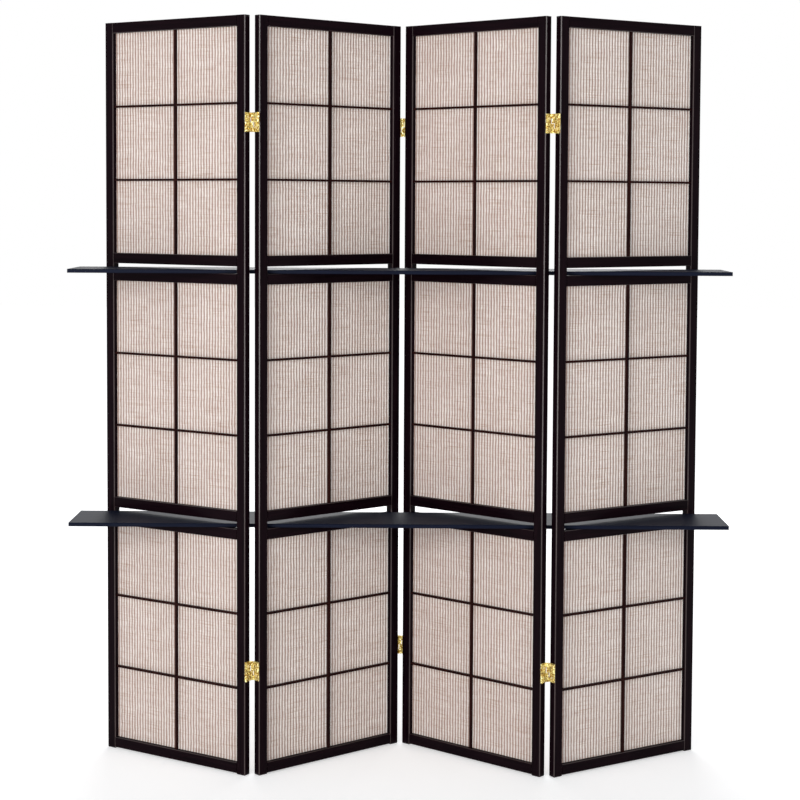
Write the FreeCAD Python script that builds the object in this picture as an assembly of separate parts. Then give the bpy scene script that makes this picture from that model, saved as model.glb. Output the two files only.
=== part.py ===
"""A free-standing shoji screen of four hinged panels with two loose shelves.

Sizes are in millimetres, +Z is up, and the screen stands on z = 0 with its front towards -Y.
A panel is drawn flat first, in its own frame: x runs along its width from its left edge, y runs
from its front face (0) to its rear face, and z is the height. Then it is turned and set in the zigzag.
"""

import math
import os

import FreeCAD
import Part
from FreeCAD import Placement, Rotation, Vector

# The frame of a panel.
screen_height = 1784.0
panel_width = 432.0
panel_thickness = 20.0
stile_width = 25.0
rail_height = 25.0
foot_height = 3.0
slot_height = 17.5
section_count = 3
stile_ease = 1.8
rail_ease = 0.8
foot_chamfer = 2.0

# The joints of the frame.
tenon_length = 15.0
tenon_thickness = 7.0
tenon_setback = 3.0
tenon_shoulder = 3.0
joint_clearance = 0.15

# The lattice and what is held behind it.
bar_width = 5.0
bar_depth = 7.0
row_count = 3
bar_housing = 5.0
cloth_setback = 12.0
cloth_thickness = 0.8
rebate_width = 6.0
rebate_clearance = 0.2
mitre_clearance = 0.1

# The zigzag in which the screen stands, in degrees.
inner_panel_angle = 41.0
outer_panel_angle = 33.5

# The double-acting hinges, two to a fold.
hinge_height = 45.0
hinge_below_top = 247.0
hinge_above_floor = 249.0
half_gap = 1.0
pin_reach = 5.0
pin_proud = 1.5
barrel_radius = 3.0
pin_radius = 1.3
pin_clearance = 0.05
plate_thickness = 1.5
plate_inset = 0.5
knuckle_gap = 0.4
screw_radius = 1.6
screw_length = 14.0
screw_head_radius = 3.2
screw_head_height = 1.2
screw_clearance = 0.05
access_radius = 3.8
barrel_sides = 10
hole_sides = 8
screw_sides = 6

# The shelves, which lie loose in the slots.
shelf_length = 1560.0
shelf_thickness = 9.0
shelf_play = 5.5
shelf_clearance = 0.1
shelf_shift = -5.0
shelf_ease = 1.5

# Sizes that follow from those above.
rail_count = 2 * section_count
slot_count = section_count - 1
opening_width = panel_width - 2 * stile_width
frame_height = screen_height - foot_height
opening_height = (frame_height - rail_count * rail_height - slot_count * slot_height) / section_count
section_height = opening_height + 2 * rail_height
bar_setback = cloth_setback - bar_depth
half_lap = bar_depth / 2
half_height = (hinge_height - half_gap) / 2
panel_angles = [-outer_panel_angle, inner_panel_angle, -inner_panel_angle, outer_panel_angle]
fold_count = len(panel_angles) - 1
middle_fold = fold_count // 2
far_pin = panel_thickness + pin_proud


def block(x, y, z, wide, deep, high):
    """A box from its low corner and its three sizes."""
    return Part.makeBox(wide, deep, high, Vector(x, y, z))


def ring(radius, sides):
    """Corners of a regular outline round the origin, as pairs."""
    turns = [2 * math.pi * (side + 0.5) / sides for side in range(sides)]
    return [(radius * math.cos(t), radius * math.sin(t)) for t in turns]


def filled(corners):
    return Part.Face(Part.makePolygon(corners + corners[:1]))


def post(radius, sides, x, y, z, high):
    """An upright round bar, with as many flats as sides."""
    corners = [Vector(x + a, y + b, z) for a, b in ring(radius, sides)]
    return filled(corners).extrude(Vector(0, 0, high))


def peg(radius, sides, x, y, z, long):
    """A round bar along x, with as many flats as sides."""
    corners = [Vector(x, y + a, z + b) for a, b in ring(radius, sides)]
    return filled(corners).extrude(Vector(long, 0, 0))


def around(radius, sides):
    """Corner radius of a hole whose flats clear a bar of this radius."""
    return radius / math.cos(math.pi / sides)


def along(edge, axis):
    """True for a straight edge that runs along one axis."""
    span = [edge.BoundBox.XLength, edge.BoundBox.YLength, edge.BoundBox.ZLength]
    size = span.pop(axis)
    return size > 1.0 and max(span) < 0.01


def eased(shape, width, axis):
    """The shape with every edge along an axis eased off."""
    return shape.makeChamfer(width, [e for e in shape.Edges if along(e, axis)])


def section_floor(section):
    """Height of the underside of a section's bottom rail."""
    return foot_height + section * (section_height + slot_height)


def opening_floor(section):
    """Height of the lower edge of a section's opening."""
    return section_floor(section) + rail_height


def slot_floor(slot):
    """Height of the rail top on which a shelf lies."""
    return section_floor(slot) + section_height


def row_height(section, row):
    """Height of the middle of a horizontal bar."""
    return opening_floor(section) + opening_height * row / row_count


def sections():
    return range(section_count)


def inner_rows():
    return range(1, row_count)


def rail_floors():
    """(height of the underside, True where the opening is above the rail), bottom rail first."""
    for section in sections():
        yield section_floor(section), True
        yield opening_floor(section) + opening_height, False


# ---------------------------------------------------------------- the frame of a panel


def housing(x, y, z, wide, deep, high):
    """The hole that a tongue of this size fits."""
    c = joint_clearance
    return block(x - c, y - c, z - c, wide + 2 * c, deep + 2 * c, high + 2 * c)


def tenon_box(x, floor):
    """Place and size of a tenon whose rail has its underside at this height."""
    high = rail_height - 2 * tenon_shoulder
    return x, tenon_setback, floor + tenon_shoulder, tenon_length, tenon_thickness, high


def stile(hinged):
    """The left stile. hinged is True where hinges are screwed to its outer edge."""
    body = eased(block(0, 0, 0, stile_width, panel_thickness, screen_height), stile_ease, 2)
    foot = block(0, 0, 0, stile_width, panel_thickness, screen_height)
    rim = [e for e in foot.Edges if e.BoundBox.ZMax < 0.01]
    body = body.common(foot.makeChamfer(foot_chamfer, rim))
    cuts = []
    rebate_depth = panel_thickness - cloth_setback
    for section in sections():
        low = opening_floor(section) - rebate_width
        high = opening_height + 2 * rebate_width
        cuts.append(
            block(stile_width - rebate_width, cloth_setback, low, rebate_width, rebate_depth, high)
        )
        for row in inner_rows():
            z = row_height(section, row) - bar_width / 2
            x = stile_width - bar_housing
            cuts.append(housing(x, bar_setback, z, bar_housing, bar_depth, bar_width))
    for floor, _ in rail_floors():
        cuts.append(housing(*tenon_box(stile_width - tenon_length, floor)))
    if hinged:
        for z in screw_heights():
            cuts.append(screw_hole(0, z, screw_length + screw_clearance))
    return body.cut(cuts)


def right_hand(shape):
    """What stands at the left edge of a panel, turned over to stand at its right edge."""
    return shape.mirror(Vector(panel_width / 2, 0, 0), Vector(1, 0, 0))


def rail(floor, opening_above):
    """A rail with its two tenons, its rebate and the housing of the upright bar."""
    wide = opening_width
    body = block(stile_width, 0, floor, wide, panel_thickness, rail_height)
    front = [e for e in body.Edges if along(e, 0) and e.BoundBox.YMax < 0.01]
    body = body.makeChamfer(rail_ease, front)
    tenons = [
        block(*tenon_box(stile_width - tenon_length, floor)),
        block(*tenon_box(panel_width - stile_width, floor)),
    ]
    body = body.fuse(tenons)
    edge = floor + rail_height - rebate_width if opening_above else floor
    deep = panel_thickness - cloth_setback
    rebate = block(stile_width, cloth_setback, edge, wide, deep, rebate_width)
    bar = floor + rail_height - bar_housing if opening_above else floor
    x = (panel_width - bar_width) / 2
    return body.cut([rebate, housing(x, bar_setback, bar, bar_width, bar_depth, bar_housing)])


# ---------------------------------------------------------------- lattice, cloth and beads


def lap(x, y, z):
    """The notch where one bar crosses another, as wide as a bar with its clearance."""
    wide = bar_width + 2 * joint_clearance
    return block(x - wide / 2, y, z - wide / 2, wide, half_lap + joint_clearance, wide)


def upright_bar(section):
    """The bar in the middle of a section. It passes in front of the bars that cross it."""
    x = panel_width / 2
    low = opening_floor(section) - bar_housing
    high = opening_height + 2 * bar_housing
    bar = block(x - bar_width / 2, bar_setback, low, bar_width, bar_depth, high)
    y = cloth_setback - half_lap - joint_clearance
    return bar.cut([lap(x, y, row_height(section, row)) for row in inner_rows()])


def level_bar(section, row):
    """A horizontal bar, let into both stiles and notched for the upright bar."""
    z = row_height(section, row)
    x = stile_width - bar_housing
    wide = opening_width + 2 * bar_housing
    bar = block(x, bar_setback, z - bar_width / 2, wide, bar_depth, bar_width)
    return bar.cut(lap(panel_width / 2, bar_setback, z))


def lattice():
    uprights = [upright_bar(section) for section in sections()]
    return uprights + [level_bar(section, row) for section in sections() for row in inner_rows()]


def cloth(section):
    """The cloth of a section, stretched over the ledge of the rebate behind the bars."""
    over = rebate_width - rebate_clearance
    x = stile_width - over
    z = opening_floor(section) - over
    wide = opening_width + 2 * over
    return block(x, cloth_setback, z, wide, cloth_thickness, opening_height + 2 * over)


def bead(length):
    """A mitred strip along x, on z = 0, for a side of this length. Its ends clear their neighbours."""
    width = rebate_width - rebate_clearance
    y = cloth_setback + cloth_thickness
    start = mitre_clearance
    end = length - mitre_clearance
    corners = [(start, 0), (end, 0), (end - width, width), (start + width, width)]
    face = filled([Vector(x, y, z) for x, z in corners])
    return face.extrude(Vector(0, panel_thickness - y, 0))


def beads(section):
    """The four strips that press the cloth into its rebate."""
    over = rebate_width - rebate_clearance
    wide = opening_width + 2 * over
    high = opening_height + 2 * over
    corner = Vector(stile_width - over, 0, opening_floor(section) - over)
    strips = []
    for turn, length, shift in (
        (0, wide, Vector()),
        (-90, high, Vector(wide, 0, 0)),
        (180, wide, Vector(wide, 0, high)),
        (90, high, Vector(0, 0, high)),
    ):
        strip = bead(length)
        strip.Placement = Placement(corner + shift, Rotation(Vector(0, 1, 0), turn))
        strips.append(strip)
    return strips


# ---------------------------------------------------------------- hinges
# A hinge part is drawn against the end of a panel: x runs outwards from the end face, y runs across
# the edge, and z is 0 at mid height. Turned half round about the upright, the same part fits the
# panel on the other side of the fold. Each hinge has an upper and a lower half, and in each half a
# link joins a knuckle of one leaf at one face to a knuckle of the other leaf at the other face.


def hinge_heights():
    return hinge_above_floor, screen_height - hinge_below_top


def half_floor(upper):
    return half_gap / 2 if upper else -half_gap / 2 - half_height


def screw_heights():
    """Heights of the screws of a panel's edge, in both halves of both hinges."""
    for hinge in hinge_heights():
        for upper in (True, False):
            yield hinge + half_floor(upper) + half_height / 2


def screw_hole(x, z, deep):
    """The hole of a screw, from x on, in the middle of a panel's edge."""
    radius = around(screw_radius + screw_clearance, screw_sides)
    return peg(radius, screw_sides, x, panel_thickness / 2, z, deep)


def screw(z):
    """A screw with a low head, driven through the leaf into the stile."""
    middle = panel_thickness / 2
    shank = peg(screw_radius, screw_sides, -screw_length, middle, z, screw_length + plate_thickness)
    head = peg(screw_head_radius, screw_sides, plate_thickness, middle, z, screw_head_height)
    return shank.fuse(head)


def knuckle_high():
    """Height of one knuckle: a leaf's and a link's share a half of the hinge."""
    return (half_height - knuckle_gap) / 2


def leaf_knuckle_floor(upper):
    """The leaf's knuckle is at the outer end of its half."""
    floor = half_floor(upper)
    return floor + half_height - knuckle_high() if upper else floor


def link_knuckle_floor(upper):
    """The link's knuckle is at the inner end of its half."""
    floor = half_floor(upper)
    return floor if upper else floor + half_height - knuckle_high()


def barrel(y, z, high):
    return post(barrel_radius, barrel_sides, pin_reach, y, z, high)


def pin_hole(y, z, high):
    """A hole with flats, on which the round pin turns."""
    radius = around(pin_radius + pin_clearance, hole_sides)
    return post(radius, hole_sides, pin_reach, y, z, high)


def leaf():
    """A leaf: the plate on the panel's edge, a knuckle at the rear above and one in front below."""
    deep = panel_thickness - 2 * plate_inset
    body = block(0, plate_inset, -hinge_height / 2, plate_thickness, deep, hinge_height)
    high = knuckle_high()
    for upper in (True, False):
        z = leaf_knuckle_floor(upper)
        y = far_pin if upper else -pin_proud
        web = far_pin - barrel_radius if upper else barrel_radius - pin_proud - plate_thickness
        body = body.fuse(block(0, web, z, pin_reach, plate_thickness, high))
        body = body.fuse(barrel(y, z, high))
        body = body.cut(pin_hole(y, z, high))
    for upper in (True, False):
        z = half_floor(upper) + half_height / 2
        body = body.cut(screw_hole(0, z, plate_thickness))
    return body.removeSplitter()


def link(upper):
    """A link: a plate from face to face with a knuckle at each end and a hole for the driver."""
    high = knuckle_high()
    z = link_knuckle_floor(upper)
    x = pin_reach - plate_thickness / 2
    clear = barrel_radius + knuckle_gap - pin_proud
    plate = block(x, clear, half_floor(upper), plate_thickness, panel_thickness - 2 * clear, half_height)
    tongue = block(x, -pin_proud, z, plate_thickness, panel_thickness + 2 * pin_proud, high)
    body = plate.fuse(tongue)
    for y in (-pin_proud, far_pin):
        body = body.fuse(barrel(y, z, high))
    for y in (-pin_proud, far_pin):
        body = body.cut(pin_hole(y, z, high))
    middle = half_floor(upper) + half_height / 2
    access = peg(access_radius, screw_sides, x, panel_thickness / 2, middle, plate_thickness)
    return body.cut(access).removeSplitter()


def turning_pin(upper, front):
    """The round pin of the face on which the fold turns."""
    y = -pin_proud if front else far_pin
    return Part.makeCylinder(pin_radius, half_height, Vector(pin_reach, y, half_floor(upper)))


def shut_pin(upper):
    """The pin of the other face, rear above and front below, with the flats of its hole."""
    y = far_pin if upper else -pin_proud
    return post(pin_radius, hole_sides, pin_reach, y, half_floor(upper), half_height)


def on_both_hinges(shape):
    """One copy of a hinge part for each of the two hinges of a fold."""
    return [shape.translated(Vector(0, 0, z)) for z in hinge_heights()]


# ---------------------------------------------------------------- the zigzag


def turned(angle, x, y):
    """A point of the plan, turned about the upright."""
    c = math.cos(math.radians(angle))
    s = math.sin(math.radians(angle))
    return Vector(c * x - s * y, s * x + c * y, 0)


def near_pin_left():
    """Rear pin of a near fold, seen from the panel on its left."""
    return panel_width + pin_reach, far_pin


def near_pin_right():
    """Rear pin of a near fold, seen from the panel on its right."""
    return -pin_reach, far_pin


def plan():
    """Where each panel's left front corner is, and the pins on which the three folds turn."""
    turns = panel_angles
    middle = Vector()
    second = middle - turned(turns[1], panel_width + pin_reach, -pin_proud)
    third = middle - turned(turns[2], -pin_reach, -pin_proud)
    left = second + turned(turns[1], *near_pin_right())
    right = third + turned(turns[2], *near_pin_left())
    first = left - turned(turns[0], *near_pin_left())
    fourth = right - turned(turns[3], *near_pin_right())
    return [first, second, third, fourth], [left, middle, right]


def shelf_edges():
    """How far in front and behind the stiles let a straight shelf reach, less its play."""
    corners, _ = plan()
    turns = panel_angles
    inner = panel_width - stile_width
    near_stiles = [
        corners[0] + turned(turns[0], inner, panel_thickness),
        corners[1] + turned(turns[1], stile_width, panel_thickness),
    ]
    far_stiles = [
        corners[0] + turned(turns[0], stile_width, 0),
        corners[1] + turned(turns[1], inner, 0),
    ]
    front = max(point.y for point in near_stiles) + shelf_play
    back = min(point.y for point in far_stiles) - shelf_play
    return front, back


def shelf(slot):
    """A straight board that lies on the slot rails of all four panels, less a hair."""
    front, back = shelf_edges()
    x = shelf_shift - shelf_length / 2
    floor = slot_floor(slot) + shelf_clearance
    board = block(x, front, floor, shelf_length, back - front, shelf_thickness)
    return eased(eased(board, shelf_ease, 2), shelf_ease, 0)


def set_panel(number, shape):
    """A shape of a panel's own frame, set where panel number stands."""
    corners, _ = plan()
    place = Placement(corners[number], Rotation(Vector(0, 0, 1), panel_angles[number]))
    moved = shape.copy()
    moved.Placement = place.multiply(shape.Placement)
    return moved


def at_right_edge(shape):
    """A hinge part on a panel's right edge, where the panel is the left one of its fold."""
    return shape.translated(Vector(panel_width, 0, 0))


def at_left_edge(shape):
    """A hinge part on a panel's left edge: turned half round, so that front and rear swap."""
    half_turn = Placement(Vector(0, panel_thickness, 0), Rotation(Vector(0, 0, 1), 180))
    moved = shape.copy()
    moved.Placement = half_turn.multiply(shape.Placement)
    return moved


def panel_nodes(number):
    """The pieces of one panel, by name."""
    name = "panel_%d_" % (number + 1)
    rails = [rail(floor, above) for floor, above in rail_floors()]
    edge_screws = [screw(z) for z in screw_heights()]
    has_left_hinges = number > 0
    has_right_hinges = number < fold_count
    screws = []
    if has_left_hinges:
        screws += [at_left_edge(s) for s in edge_screws]
    if has_right_hinges:
        screws += [at_right_edge(s) for s in edge_screws]
    nodes = {
        "left_stile": [stile(has_left_hinges)],
        "right_stile": [right_hand(stile(has_right_hinges))],
        "top_and_bottom_rails": [rails[0], rails[-1]],
        "slot_rails": rails[1:-1],
        "lattice_bars": lattice(),
        "cloth": [cloth(section) for section in sections()],
        "cloth_beads": [strip for section in sections() for strip in beads(section)],
        "hinge_screws": screws,
    }
    return {name + key: [set_panel(number, s) for s in shapes] for key, shapes in nodes.items()}


def set_on_left(fold, shapes):
    """Hinge parts set on the panel to the left of a fold."""
    return [set_panel(fold, at_right_edge(s)) for s in shapes]


def set_on_right(fold, shapes):
    """Hinge parts set on the panel to the right of a fold."""
    return [set_panel(fold + 1, at_left_edge(s)) for s in shapes]


def fold_nodes(fold):
    """The pieces of the two hinges of a fold, by name.

    A near fold turns on its rear pins, and the far fold, in the middle, on its front pins. The pins
    at the other face stay shut, each in its leaf's own knuckle, and hold the link to that leaf.
    """
    far_fold = fold == middle_fold
    upper_side = set_on_left if far_fold else set_on_right
    lower_side = set_on_right if far_fold else set_on_left
    turning = [p for upper in (True, False) for p in on_both_hinges(turning_pin(upper, far_fold))]
    nodes = {
        "left_leaves": set_on_left(fold, on_both_hinges(leaf())),
        "right_leaves": set_on_right(fold, on_both_hinges(leaf())),
        "upper_links": upper_side(fold, on_both_hinges(link(True))),
        "lower_links": lower_side(fold, on_both_hinges(link(False))),
        "turning_pins": set_on_left(fold, turning),
        "upper_shut_pins": upper_side(fold, on_both_hinges(shut_pin(True))),
        "lower_shut_pins": lower_side(fold, on_both_hinges(shut_pin(False))),
    }
    return {"fold_%d_%s" % (fold + 1, key): shapes for key, shapes in nodes.items()}


def all_nodes():
    nodes = {}
    for number in range(len(panel_angles)):
        nodes.update(panel_nodes(number))
    for fold in range(fold_count):
        nodes.update(fold_nodes(fold))
    nodes["lower_shelf"] = [shelf(0)]
    nodes["upper_shelf"] = [shelf(1)]
    return nodes


def home_shift(nodes):
    """The move that puts the middle of the whole screen's plan on the origin."""
    box = Part.makeCompound([s for shapes in nodes.values() for s in shapes]).BoundBox
    return Vector(-box.Center.x, -box.Center.y, -box.ZMin)


def main():
    nodes = all_nodes()
    shift = home_shift(nodes)
    os.makedirs("parts", exist_ok=True)
    for name, shapes in nodes.items():
        moved = [s.translated(shift) for s in shapes]
        shape = moved[0] if len(moved) == 1 else Part.makeCompound(moved)
        shape.exportStep(os.path.join("parts", name + ".step"))
    pins = [pin_line + shift for pin_line in plan()[1]]
    print("turning pins at", [(round(p.x, 4), round(p.y, 4)) for p in pins])


if __name__ == "__main__":
    main()
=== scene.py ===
"""The folding screen as it looks: dark wood, ribbed woven cloth, lacquered shelves, brass hinges."""

import math

import bpy
from mathutils import Matrix, Vector

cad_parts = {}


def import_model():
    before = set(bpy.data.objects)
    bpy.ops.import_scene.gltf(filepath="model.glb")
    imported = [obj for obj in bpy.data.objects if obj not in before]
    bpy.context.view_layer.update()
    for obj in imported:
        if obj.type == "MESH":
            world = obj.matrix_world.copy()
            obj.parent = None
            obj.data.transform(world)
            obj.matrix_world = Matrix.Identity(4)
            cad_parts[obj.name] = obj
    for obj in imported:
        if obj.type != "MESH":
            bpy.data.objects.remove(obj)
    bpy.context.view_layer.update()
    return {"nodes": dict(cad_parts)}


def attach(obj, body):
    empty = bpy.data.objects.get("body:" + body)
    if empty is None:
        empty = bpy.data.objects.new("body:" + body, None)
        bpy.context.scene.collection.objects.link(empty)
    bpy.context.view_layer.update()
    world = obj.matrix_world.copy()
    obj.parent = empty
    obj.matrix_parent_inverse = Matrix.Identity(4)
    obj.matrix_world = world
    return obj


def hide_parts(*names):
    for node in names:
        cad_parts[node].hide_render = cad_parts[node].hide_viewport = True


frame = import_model()
nodes = frame["nodes"]

MM_PER_M = 1000

# How far each panel is turned about the upright, in degrees.
PANEL_ANGLES = {1: -33.5, 2: 41.0, 3: -41.0, 4: 33.5}

# The cloth, in metres: its ribs, the slight waves of a stretched sheet, and how far in from the
# edge the ribs are pressed flat and the waves are pulled out.
RIB_PITCH = 0.0085
RIB_DEPTH = 0.0006
PRESSED_EDGE = 0.008
STRETCH_WAVE = 0.0006
TAUT_EDGE = 0.03
POINTS_PER_RIB = 6
ROW_STEP = 0.014

# The two waves that are multiplied, each in radians to the metre along x and z.
WAVES = ((31, 17), (-11, 23))

# Where the pattern of the cloth starts, so that no two sheets are alike: whole ribs to each panel
# and each section, and millimetres of height to each panel.
PANEL_RIBS = 11
SECTION_RIBS = 5
PANEL_RISE_MM = 613

# The levels of the sheets are told apart to a tenth of a millimetre.
LEVEL_DIGITS = 4

# The yarns of the cloth, in millimetres.
THREAD_PITCH_MM = 1.1
GROOVE_SHIFT_MM = 0.5
SWAY_MM = 3.0

# How much the yarns break up the ribs, and how much the slubs and the flecks colour the cloth.
YARN_UNEVENNESS = 0.9
SLUB_SHARE = 0.8
FLECK_SHARE = 0.45

# How high the parts of the cloth's weave stand, as shares of the depth of its bump.
RIB_SHARE = 0.8
THREAD_SHARE = 0.35
WEFT_SHARE = 0.7

# The wood: its grain is drawn out along the piece and moves its roughness a little either way,
# and its chamfers get a paler colour, which is a painted highlight, and more coat. A chamfer leans
# 45 degrees, so the gain brings 1 less its normal's largest part up to 1.
ALONG_GRAIN, ACROSS_GRAIN = 3, 60
GRAIN_SPREAD = 0.08
PORE_SHARE = 0.5
CHAMFER_GAIN = 3.4
FACE_COAT = 0.03
CHAMFER_COAT = 0.6

# The boards' grain runs along x.
BOARD_GRAIN = (2.5, 40, 40)

# The brass: patterns to the metre, radians of a curl to the size of a cell, and their heights.
CURLS_PER_M = 240.0
CURL_RADIANS = 15.0
TARNISH_PER_M = 120.0
WEAR_PER_M = 300.0
CURL_SHARE = 0.8
TARNISH_SHARE = 0.5
WORN_SHADE = 0.85

# Colours, and the steps of a ramp where a pattern picks them.
DARK = (0.0026, 0.0007, 0.0018)
LIGHT = (0.0075, 0.0022, 0.0042)
REDDISH = (0.032, 0.0085, 0.0065)
# A painted highlight: the paler colour mixed into the wood's chamfers.
PAINTED_CHAMFER_HIGHLIGHT = (0.09, 0.062, 0.06)
RIB_COLOURS = [
    (0.1, (0.42, 0.285, 0.245)),
    (0.45, (0.575, 0.472, 0.426)),
    (0.68, (0.8, 0.742, 0.698)),
    (1.0, (0.88, 0.83, 0.79)),
]
SLUB_COLOURS = [(0.33, (0.62, 0.47, 0.34)), (0.46, (1, 1, 1)), (0.72, (1.06, 1.06, 1.06))]
MOTTLE_COLOURS = [(0.3, (0.94, 0.93, 0.92)), (0.7, (1, 1, 1))]
FLECK_EDGE = [(0.71, (0, 0, 0)), (0.77, (1, 1, 1))]
FLECK = (0.45, 0.27, 0.11)
LACQUER_COLOURS = [(0.3, (0.0025, 0.0035, 0.011)), (0.75, (0.005, 0.007, 0.019))]
LACQUER_SHEEN = (0.82, 0.9, 1, 1)
EMBOSSED_COLOURS = [
    (0.0, (0.3, 0.15, 0.015)),
    (0.25, (0.75, 0.46, 0.05)),
    (0.6, (1.0, 0.78, 0.14)),
    (0.9, (1.0, 0.95, 0.5)),
]
PALE_BRASS = (0.9, 0.78, 0.5)
STUDIO_WHITE = (0.8, 0.8, 0.8, 1)
AIR_COLOUR = (0.95, 0.97, 1, 1)

# The camera: its lens and how far its axis is from the top of the picture, both in pixels, its
# place in metres, and its turns in radians.
PICTURE_PX = 800
FOCAL_PX = 1902.48
AXIS_PX = 316.0
SENSOR_MM = 36.0
CAMERA_AT = (0.016606, -4.565349, 1.35)
CAMERA_YAW = 0.003461
CAMERA_PITCH = -0.058958
CAMERA_ROLL = -0.004982
FARTHEST_M = 100

# The lamps: place and width in metres, and power in watts. Only the strips show in reflections.
SQUARE_LAMPS = [
    ("key_light", (-2.6, -4.4, 1.6), 2.6, 127),
    ("fill_light", (3.0, -4.2, 1.5), 2.6, 40),
    ("rear_light", (0, 3.6, 3.2), 2.4, 90),
]
STRIP_LAMPS = [
    ("left_strip", (-1.2, -4.6, 1.3), 0.4, 16),
    ("right_strip", (1.2, -4.6, 1.3), 0.4, 16),
]
STRIP_HIGH_M = 2.6
LAMP_AIM_M = 0.9
AIR_LIGHT = 0.5

# The floor lies a little below the feet, so that they don't share a plane.
FLOOR_SIDE_M = 40
FLOOR_DROP_M = 0.0005

# The rays that see the background as white, and what the floor adds to its own light for them,
# near the screen and far off.
SEEN_RAYS = ("Is Camera Ray", "Is Glossy Ray", "Is Transmission Ray")
NEAR_GLOW, FAR_GLOW = 0.42, 0.75
NEAR_M, FAR_M = 1.2, 5.0


# ---------------------------------------------------------------- materials


class Shader:
    """A material's node tree, with short ways to add to it."""

    def __init__(self, name):
        self.material = bpy.data.materials.new(name)
        self.material.use_nodes = True
        self.tree = self.material.node_tree
        self.bsdf = self.tree.nodes["Principled BSDF"]

    def add(self, kind, **settings):
        node = self.tree.nodes.new(kind)
        for key, value in settings.items():
            setattr(node, key, value)
        return node

    def link(self, start, end):
        self.tree.links.new(start, end)

    def give(self, socket, value):
        """Links an output to a socket, or sets the socket to a number or a colour."""
        if isinstance(value, bpy.types.NodeSocket):
            self.link(value, socket)
        else:
            socket.default_value = value

    def feed(self, name, pattern):
        """Links a pattern to a socket of the surface."""
        self.link(pattern, self.bsdf.inputs[name])

    def set(self, **values):
        """Sets sockets of the surface, whose names have _ here in place of a space."""
        for key, value in values.items():
            self.bsdf.inputs[key.replace("_", " ")].default_value = value

    def place(self):
        """Object coordinates."""
        return self.add("ShaderNodeTexCoord").outputs["Object"]

    def stretched(self, vector, scale):
        """Coordinates that are multiplied by a scale along each axis."""
        node = self.add("ShaderNodeMapping")
        node.inputs["Scale"].default_value = scale
        self.link(vector, node.inputs["Vector"])
        return node.outputs["Vector"]

    def turned(self, angle, scale):
        """Object coordinates that are turned back about the upright, and then stretched."""
        place = self.place()
        turn = self.add("ShaderNodeMapping")
        turn.inputs["Rotation"].default_value = (0, 0, -math.radians(angle))
        self.link(place, turn.inputs["Vector"])
        return self.stretched(turn.outputs["Vector"], scale)

    def on_chamfers(self, angle):
        """1 on the chamfers of a turned piece, 0 on its flat faces."""
        where = self.add("ShaderNodeTexCoord")
        turn = self.add("ShaderNodeVectorRotate", rotation_type="Z_AXIS")
        turn.inputs["Angle"].default_value = -math.radians(angle)
        self.link(where.outputs["Normal"], turn.inputs["Vector"])
        split = self.add("ShaderNodeSeparateXYZ")
        self.link(turn.outputs["Vector"], split.inputs["Vector"])
        flat = 0.0
        for axis in "XYZ":
            flat = self.math("MAXIMUM", flat, self.math("ABSOLUTE", split.outputs[axis]))
        return self.math("MULTIPLY", self.math("SUBTRACT", 1.0, flat), CHAMFER_GAIN, clamp=True)

    def noise(self, vector, scale, detail=3.0, rough=0.5):
        node = self.add("ShaderNodeTexNoise")
        node.inputs["Scale"].default_value = scale
        node.inputs["Detail"].default_value = detail
        node.inputs["Roughness"].default_value = rough
        self.link(vector, node.inputs["Vector"])
        return node.outputs["Fac"]

    def ramp(self, value, steps):
        """The colour that a pattern picks from steps, each a place from 0 to 1 and a colour."""
        node = self.add("ShaderNodeValToRGB")
        while len(node.color_ramp.elements) < len(steps):
            node.color_ramp.elements.new(0.5)
        for element, (at, colour) in zip(node.color_ramp.elements, steps):
            element.position = at
            element.color = (*colour, 1)
        self.link(value, node.inputs["Fac"])
        return node.outputs["Color"]

    def mix(self, share, first, second, kind="MIX"):
        """A share of the second colour mixed into the first. The second may be a plain one."""
        node = self.add("ShaderNodeMix", data_type="RGBA", blend_type=kind)
        factor, start, end = node.inputs["Factor"], node.inputs[6], node.inputs[7]
        self.give(factor, share)
        self.link(first, start)
        self.give(end, (*second, 1) if isinstance(second, tuple) else second)
        return node.outputs[2]

    def math(self, kind, first, second=0.0, clamp=False):
        node = self.add("ShaderNodeMath", operation=kind, use_clamp=clamp)
        self.give(node.inputs[0], first)
        self.give(node.inputs[1], second)
        return node.outputs[0]

    def line(self, pattern, slope, start):
        """A pattern times a slope, plus a start."""
        result = self.math("MULTIPLY_ADD", pattern, slope)
        result.node.inputs[2].default_value = start
        return result

    def bump(self, height, distance, strength):
        """Shades the surface as if a pattern raised it, at most by a distance in metres."""
        node = self.add("ShaderNodeBump")
        node.inputs["Strength"].default_value = strength
        node.inputs["Distance"].default_value = distance
        self.link(height, node.inputs["Height"])
        self.feed("Normal", node.outputs["Normal"])


def wood(name, angle, along, light, roughness):
    """Dark stained wood whose grain runs along x ("level") or z ("upright") of a turned piece.

    The chamfers are a little paler than the faces, which is a painted highlight, and carry more
    coat.
    """
    s = Shader(name)
    if along == "level":
        scale = (ALONG_GRAIN, ACROSS_GRAIN, ACROSS_GRAIN)
    else:
        scale = (ACROSS_GRAIN, ACROSS_GRAIN, ALONG_GRAIN)
    vector = s.turned(angle, scale)
    grain = s.noise(vector, scale=3.0, detail=6.0, rough=0.6)
    pores = s.noise(vector, scale=14.0, detail=2.0)
    # The chamfers get a paler colour, a painted highlight, and a heavier coat.
    chamfer_highlight_mask = s.on_chamfers(angle)
    colour = s.ramp(grain, [(0.3, DARK), (0.72, light)])
    s.feed("Base Color", s.mix(s.math("MULTIPLY", chamfer_highlight_mask, grain), colour, PAINTED_CHAMFER_HIGHLIGHT))
    s.feed("Roughness", s.line(grain, slope=2 * GRAIN_SPREAD, start=roughness - GRAIN_SPREAD))
    s.feed("Coat Weight", s.line(chamfer_highlight_mask, slope=CHAMFER_COAT, start=FACE_COAT))
    s.set(Coat_Roughness=0.13, Specular_IOR_Level=0.02)
    height = s.math("ADD", grain, s.math("MULTIPLY", pores, PORE_SHARE))
    s.bump(height, distance=0.00012, strength=0.35)
    return s.material


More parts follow.
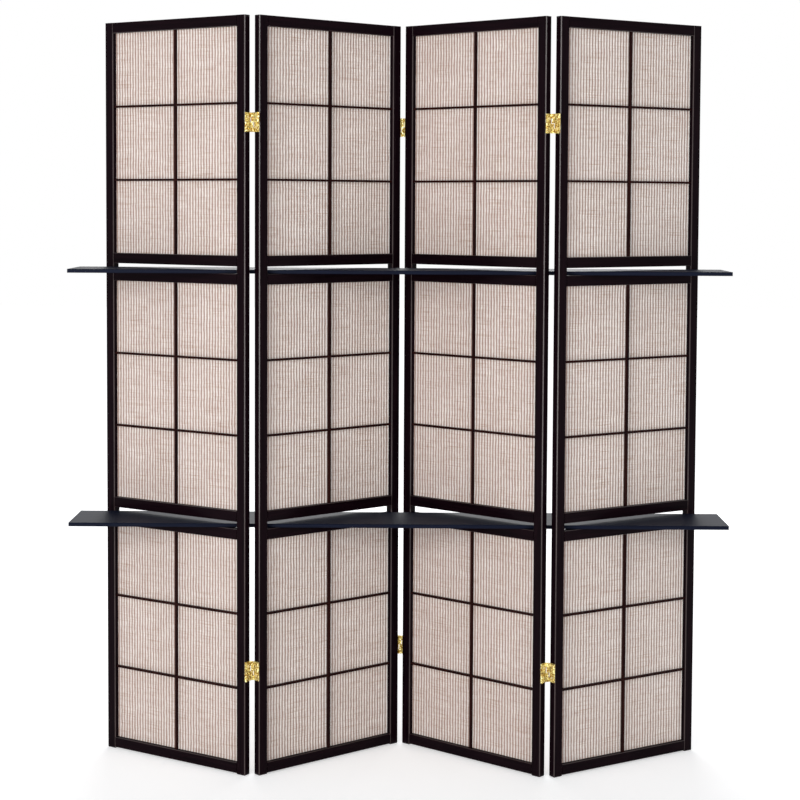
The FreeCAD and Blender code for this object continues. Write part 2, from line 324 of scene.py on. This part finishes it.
def woven_cloth():
    """Ribbed cloth: pale ribs and brownish grooves, slubs of weft across them and a few flecks."""
    s = Shader("woven_cloth")
    place = s.add("ShaderNodeUVMap", uv_map="millimetres").outputs["UV"]
    split = s.add("ShaderNodeSeparateXYZ")
    s.link(place, split.inputs["Vector"])
    across, up = split.outputs["X"], split.outputs["Y"]

    def patches(across_per_mm, up_per_mm, detail, rough=0.5):
        """Noise with about so many patches to the millimetre, across the cloth and up it."""
        return s.noise(s.stretched(place, (across_per_mm, up_per_mm, 1)), 1.0, detail, rough)

    sway = s.math("SUBTRACT", patches(0.02, 0.03, detail=2.0), 0.5)
    swayed = s.math("ADD", across, s.math("MULTIPLY", sway, SWAY_MM))
    shifted = s.math("ADD", swayed, GROOVE_SHIFT_MM)
    phase = s.math("MULTIPLY", shifted, 2 * math.pi / (RIB_PITCH * MM_PER_M))
    rib = s.line(s.math("COSINE", phase), slope=-0.5, start=0.5)
    yarn = patches(0.35, 0.06, detail=3.0, rough=0.6)
    weft = patches(0.012, 0.9, detail=3.0, rough=0.65)
    thread = s.math("SINE", s.math("MULTIPLY", up, 2 * math.pi / THREAD_PITCH_MM))
    warp = patches(0.5, 0.5, detail=2.0)

    uneven = s.math("MULTIPLY", s.math("SUBTRACT", yarn, 0.5), YARN_UNEVENNESS)
    colour = s.ramp(s.math("ADD", rib, uneven, clamp=True), RIB_COLOURS)
    colour = s.mix(SLUB_SHARE, colour, s.ramp(weft, SLUB_COLOURS), "MULTIPLY")
    flecks = s.ramp(patches(0.22, 0.6, detail=1.0), FLECK_EDGE)
    colour = s.mix(s.math("MULTIPLY", flecks, FLECK_SHARE), colour, FLECK)
    mottle = s.ramp(patches(0.006, 0.006, detail=2.0), MOTTLE_COLOURS)
    s.feed("Base Color", s.mix(1.0, colour, mottle, "MULTIPLY"))
    s.set(Roughness=0.9, Specular_IOR_Level=0.15, Sheen_Weight=0.12, Sheen_Roughness=0.5)

    threads = s.math("MULTIPLY", s.math("MULTIPLY", thread, warp), THREAD_SHARE)
    height = s.math("ADD", s.math("MULTIPLY", rib, RIB_SHARE), threads)
    height = s.math("ADD", height, s.math("MULTIPLY", weft, WEFT_SHARE))
    s.bump(height, distance=0.0006, strength=0.6)
    return s.material


def shelf_finish():
    """Blue-black lacquer on a level board, over the grain along its length."""
    s = Shader("shelf_lacquer")
    grain = s.noise(s.turned(0, BOARD_GRAIN), scale=4.0, detail=5.0, rough=0.6)
    s.feed("Base Color", s.ramp(grain, LACQUER_COLOURS))
    s.feed("Roughness", s.line(grain, slope=0.14, start=0.42))
    s.set(Specular_IOR_Level=0.07, Specular_Tint=LACQUER_SHEEN)
    s.bump(grain, distance=0.0001, strength=0.25)
    return s.material


def embossed_brass():
    """Brass plate with a raised pattern of small curls, darker in the hollows."""
    s = Shader("embossed_brass")
    place = s.place()
    cells = s.add("ShaderNodeTexVoronoi", feature="SMOOTH_F1")
    cells.inputs["Scale"].default_value = CURLS_PER_M
    s.link(place, cells.inputs["Vector"])
    curls = s.math("SINE", s.math("MULTIPLY", cells.outputs["Distance"], CURL_RADIANS))
    tarnish = s.math("MULTIPLY", s.noise(place, TARNISH_PER_M), TARNISH_SHARE)
    height = s.math("ADD", s.math("MULTIPLY", curls, CURL_SHARE), tarnish)
    s.feed("Base Color", s.ramp(height, EMBOSSED_COLOURS))
    s.set(Metallic=0.5, Roughness=0.3, Specular_IOR_Level=0.5)
    s.bump(height, distance=0.0005, strength=0.8)
    return s.material


def pale_brass():
    """Plain brass of the pins and screws, a little darker and smoother in patches."""
    s = Shader("pale_brass")
    patches = s.noise(s.place(), WEAR_PER_M)
    s.feed("Roughness", s.line(patches, slope=0.2, start=0.2))
    darker = tuple(WORN_SHADE * part for part in PALE_BRASS)
    s.feed("Base Color", s.ramp(patches, [(0.3, darker), (0.7, PALE_BRASS)]))
    s.set(Metallic=0.4)
    return s.material


def wear(piece, material, slot):
    """Gives a piece a material. The slot is not used."""
    piece.data.materials.clear()
    piece.data.materials.append(material)


# ---------------------------------------------------------------- the wood and the metal

for panel, angle in PANEL_ANGLES.items():
    upright = wood("stile_wood_%d" % panel, angle, "upright", LIGHT, roughness=0.38)
    level = wood("rail_wood_%d" % panel, angle, "level", LIGHT, roughness=0.38)
    bars = wood("lattice_wood_%d" % panel, angle, "upright", REDDISH, roughness=0.42)
    for key, material, slot in (
        ("left_stile", upright, "frame_wood"),
        ("right_stile", upright, "frame_wood"),
        ("top_and_bottom_rails", level, "frame_wood"),
        ("slot_rails", level, "frame_wood"),
        ("lattice_bars", bars, "lattice_wood"),
        ("cloth_beads", bars, "lattice_wood"),
    ):
        wear(nodes["panel_%d_%s" % (panel, key)], material, slot)

lacquer = shelf_finish()
for name in ("upper_shelf", "lower_shelf"):
    wear(nodes[name], lacquer, "shelf_board")

plates = embossed_brass()
pins_and_screws = pale_brass()
for name, piece in nodes.items():
    if name.endswith("_links") or name.endswith("_leaves"):
        wear(piece, plates, "hinge_brass")
    elif name.startswith("fold_") or name.endswith("_screws"):
        wear(piece, pins_and_screws, "hinge_steel")


# ---------------------------------------------------------------- the cloth


def cloth_box(node, panel):
    """A panel's flat sheets turned back: their least x, greatest x and least y, and levels."""
    back = Matrix.Rotation(-math.radians(PANEL_ANGLES[panel]), 3, "Z")
    points = [back @ v.co for v in node.data.vertices]
    x0, x1 = min(p.x for p in points), max(p.x for p in points)
    levels = sorted({round(p.z, LEVEL_DIGITS) for p in points})
    return x0, x1, min(p.y for p in points), levels


def rib_rise(along, edge):
    """How far back the ribs take the cloth, at a distance from its side and its nearest edge."""
    phase = 2 * math.pi * along / RIB_PITCH
    return RIB_DEPTH * min(edge / PRESSED_EDGE, 1.0) * (1 + math.cos(phase))


def wave_rise(x, z, edge, panel, section):
    """How far back the slight waves take the cloth, other ones on each sheet."""
    first, second = (across * x + up * z for across, up in WAVES)
    wave = math.sin(first + panel + section) * math.sin(second + 2 * panel)
    return STRETCH_WAVE * min(edge / TAUT_EDGE, 1.0) * (wave + 1) / 2


def grid_faces(columns, rows):
    """The faces of a grid whose points are numbered row by row."""
    wide = columns + 1
    for row in range(rows):
        for column in range(columns):
            corner = row * wide + column
            yield corner, corner + 1, corner + 1 + wide, corner + wide


def grid_piece(name, columns, rows, points, places):
    """A smooth grid as an object, with its places on the cloth as a UV map."""
    mesh = bpy.data.meshes.new(name)
    mesh.from_pydata(points, [], list(grid_faces(columns, rows)))
    layer = mesh.uv_layers.new(name="millimetres")
    for loop in mesh.loops:
        layer.data[loop.index].uv = places[loop.vertex_index]
    mesh.polygons.foreach_set("use_smooth", [True] * len(mesh.polygons))
    piece = bpy.data.objects.new(name, mesh)
    bpy.context.scene.collection.objects.link(piece)
    return piece


def ribbed_sheets(panel, node):
    """A panel's sheets, ribbed upright, in the places of its flat ones, with width and height."""
    x0, x1, y0, levels = cloth_box(node, panel)
    forth = Matrix.Rotation(math.radians(PANEL_ANGLES[panel]), 3, "Z")
    columns = int((x1 - x0) / RIB_PITCH * POINTS_PER_RIB)
    for section, (low, high) in enumerate(zip(levels[::2], levels[1::2])):
        rows = int((high - low) / ROW_STEP)
        first_rib = PANEL_RIBS * panel + SECTION_RIBS * section
        points, places = [], []
        for row in range(rows + 1):
            z = low + (high - low) * row / rows
            for column in range(columns + 1):
                x = x0 + (x1 - x0) * column / columns
                edge = min(x - x0, x1 - x, z - low, high - z)
                y = y0 + rib_rise(x - x0, edge) + wave_rise(x, z, edge, panel, section)
                points.append(forth @ Vector((x, y, z)))
                along = x - x0 + RIB_PITCH * first_rib
                places.append((MM_PER_M * along, MM_PER_M * z + PANEL_RISE_MM * panel))
        name = "panel_%d_woven_cloth_%d" % (panel, section + 1)
        yield grid_piece(name, columns, rows, points, places), x1 - x0, high - low


cloth_material = woven_cloth()
for panel in PANEL_ANGLES:
    node = nodes["panel_%d_cloth" % panel]
    for piece, wide, high in ribbed_sheets(panel, node):
        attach(piece, "panel_%d" % panel)
        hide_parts(node.name)
        wear(piece, cloth_material, "screen_cloth")


# ---------------------------------------------------------------- floor, light and camera


def floor():
    """A pale floor that is seen as white, also in reflections, and keeps the screen's shadow."""
    bpy.ops.mesh.primitive_plane_add(size=FLOOR_SIDE_M, location=(0, 0, -FLOOR_DROP_M))
    plane = bpy.context.object
    plane.name = "studio_floor"
    s = Shader("studio_white")
    s.set(Base_Color=STUDIO_WHITE, Roughness=0.9, Specular_IOR_Level=0.0)
    rays = s.add("ShaderNodeLightPath")
    seen = 0.0
    for ray in SEEN_RAYS:
        seen = s.math("ADD", seen, rays.outputs[ray], clamp=True)
    away = s.add("ShaderNodeVectorMath", operation="LENGTH")
    s.link(s.place(), away.inputs[0])
    glow = s.add("ShaderNodeMapRange")
    glow.inputs["From Min"].default_value = NEAR_M
    glow.inputs["From Max"].default_value = FAR_M
    glow.inputs["To Min"].default_value = NEAR_GLOW
    glow.inputs["To Max"].default_value = FAR_GLOW
    s.link(away.outputs["Value"], glow.inputs["Value"])
    shown = s.add("ShaderNodeEmission")
    s.link(s.math("MULTIPLY", seen, glow.outputs["Result"]), shown.inputs["Strength"])
    both = s.add("ShaderNodeAddShader")
    s.link(s.bsdf.outputs[0], both.inputs[0])
    s.link(shown.outputs[0], both.inputs[1])
    s.link(both.outputs[0], s.tree.nodes["Material Output"].inputs["Surface"])
    plane.data.materials.append(s.material)


def world():
    """Soft air: an even light, and white where it is seen, also in reflections."""
    air = bpy.data.worlds.new("studio_air")
    bpy.context.scene.world = air
    air.use_nodes = True
    tree = air.node_tree
    even = tree.nodes["Background"]
    even.inputs["Color"].default_value = AIR_COLOUR
    even.inputs["Strength"].default_value = AIR_LIGHT
    shown = tree.nodes.new("ShaderNodeBackground")
    shown.inputs["Color"].default_value = (1, 1, 1, 1)
    rays = tree.nodes.new("ShaderNodeLightPath")
    out = tree.nodes["World Output"].inputs["Surface"]
    for ray in SEEN_RAYS:
        both = tree.nodes.new("ShaderNodeMixShader")
        under = out.links[0].from_socket
        tree.links.new(rays.outputs[ray], both.inputs["Fac"])
        tree.links.new(under, both.inputs[1])
        tree.links.new(shown.outputs[0], both.inputs[2])
        tree.links.new(both.outputs[0], out)


def lamp(name, place, wide, power, high, aim_height, shine):
    """A soft oblong light that faces the upright line through the middle of the screen."""
    data = bpy.data.lights.new(name, "AREA")
    data.shape = "RECTANGLE"
    data.size = wide
    data.size_y = high
    data.energy = power
    data.specular_factor = shine
    piece = bpy.data.objects.new(name, data)
    piece.location = place
    aim = Vector((0, 0, aim_height)) - Vector(place)
    piece.rotation_euler = aim.to_track_quat("-Z", "Y").to_euler()
    piece.visible_camera = False
    bpy.context.scene.collection.objects.link(piece)


def camera():
    """The camera, whose axis is a little above the middle of the picture."""
    data = bpy.data.cameras.new("camera")
    piece = bpy.data.objects.new("camera", data)
    bpy.context.scene.collection.objects.link(piece)
    data.sensor_width = SENSOR_MM
    data.lens = FOCAL_PX / PICTURE_PX * SENSOR_MM
    data.shift_y = (AXIS_PX - PICTURE_PX / 2) / PICTURE_PX
    data.clip_end = FARTHEST_M
    piece.location = CAMERA_AT
    turn = Matrix.Rotation(CAMERA_YAW, 3, "Z") @ Matrix.Rotation(CAMERA_PITCH, 3, "X")
    turn = turn @ Matrix.Rotation(CAMERA_ROLL, 3, "Y") @ Matrix.Rotation(math.radians(90), 3, "X")
    piece.rotation_euler = turn.to_euler()
    bpy.context.scene.camera = piece


floor()
world()
for name, place, wide, power in SQUARE_LAMPS:
    lamp(name, place, wide, power, high=wide, aim_height=LAMP_AIM_M, shine=0.0)
for name, place, wide, power in STRIP_LAMPS:
    lamp(name, place, wide, power, high=STRIP_HIGH_M, aim_height=place[2], shine=1.0)
camera()

bpy.context.scene.view_settings.view_transform = "Standard"
